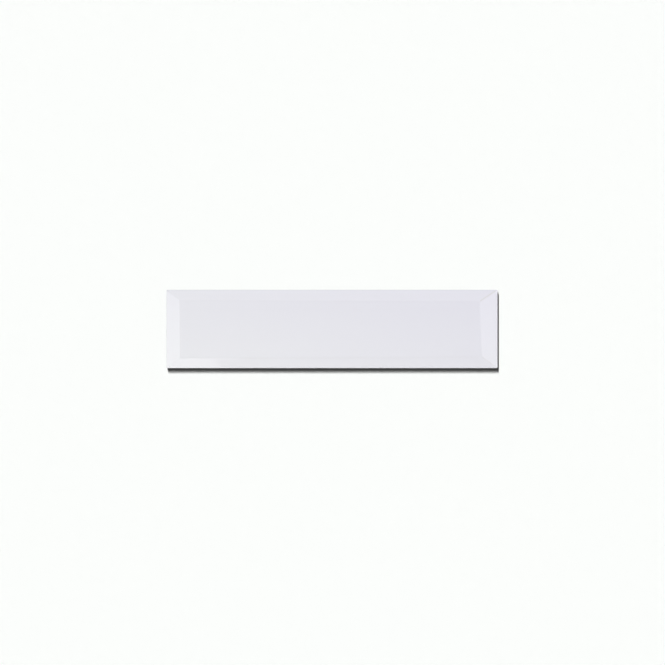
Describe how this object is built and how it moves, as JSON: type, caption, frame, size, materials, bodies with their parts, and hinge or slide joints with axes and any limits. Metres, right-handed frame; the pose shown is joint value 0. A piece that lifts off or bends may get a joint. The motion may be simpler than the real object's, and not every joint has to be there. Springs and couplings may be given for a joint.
{
  "type": "bevelled wall tile",
  "caption": "Slim rectangular wall tile in white glazed ceramic, with a raised flat face, bevels along every side and a keyed back that beds in adhesive.",
  "frame": {"origin": "middle of the back, on the plane that the ribs of the keyed back touch", "axes": "+X along the tile's length, +Y across its width, +Z out of the glazed face; the tile lies face up"},
  "size_m": [0.3, 0.071, 0.008],
  "materials": {
    "white_glaze": "glossy white glaze with a faint lavender cast over a pale fired clay body, bare on the back"
  },
  "bodies": {
    "root": {"wall_tile": "white_glaze"}
  },
  "joints": []
}
